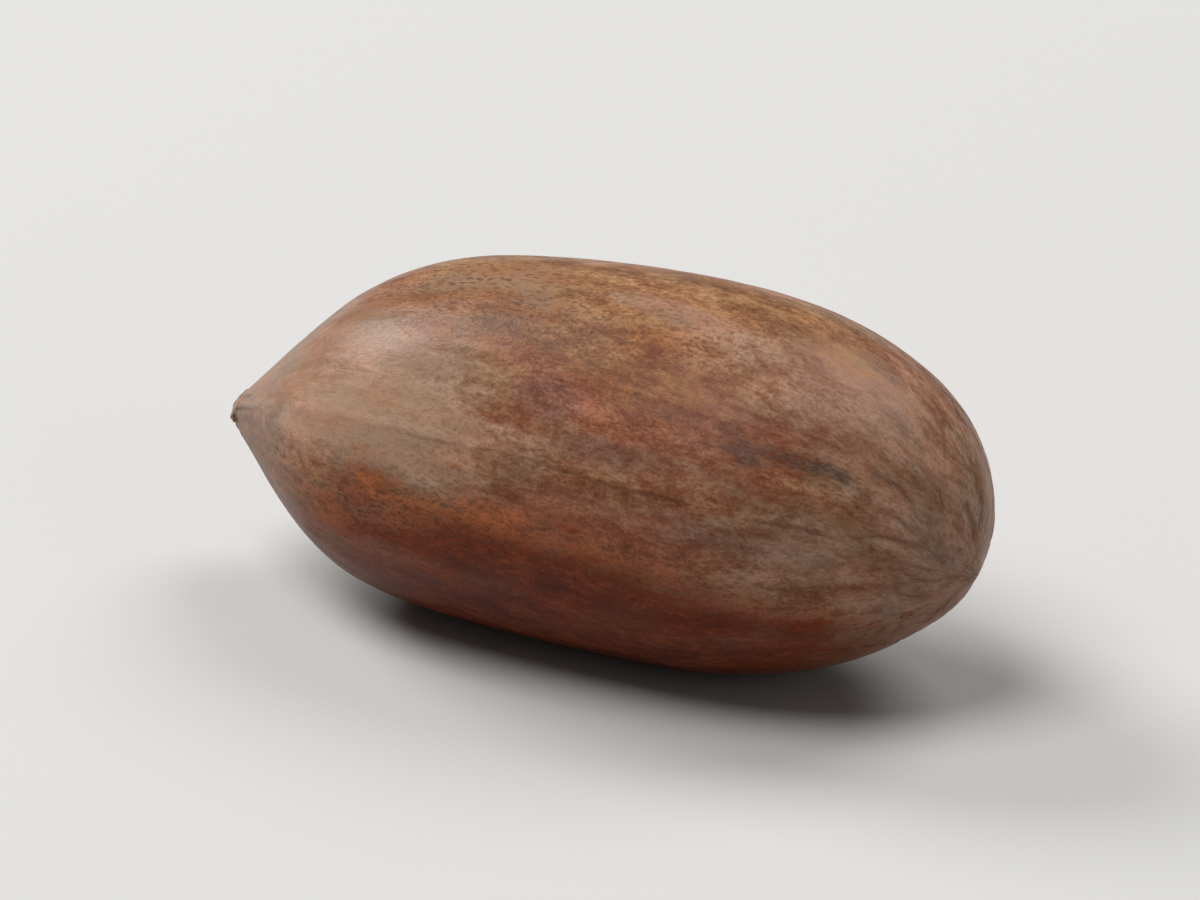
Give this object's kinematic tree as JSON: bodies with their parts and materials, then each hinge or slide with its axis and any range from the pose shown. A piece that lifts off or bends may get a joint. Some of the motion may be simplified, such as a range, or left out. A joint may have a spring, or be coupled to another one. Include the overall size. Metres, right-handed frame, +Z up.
{
  "type": "pecan in shell",
  "caption": "Long pointed pecan nut in its closed, smooth, keeled shell, lying on its side on a small flat spot.",
  "frame": {"origin": "middle of the nut's box in X and Y, on the surface that the nut lies on", "axes": "+X along the nut from its pointed tip towards its stalk end, +Z up, +Y to the left of that direction"},
  "size_m": [0.045, 0.0212, 0.0201],
  "materials": {
    "shell": "satin"
  },
  "bodies": {
    "root": {"pecan": "shell"}
  },
  "joints": []
}
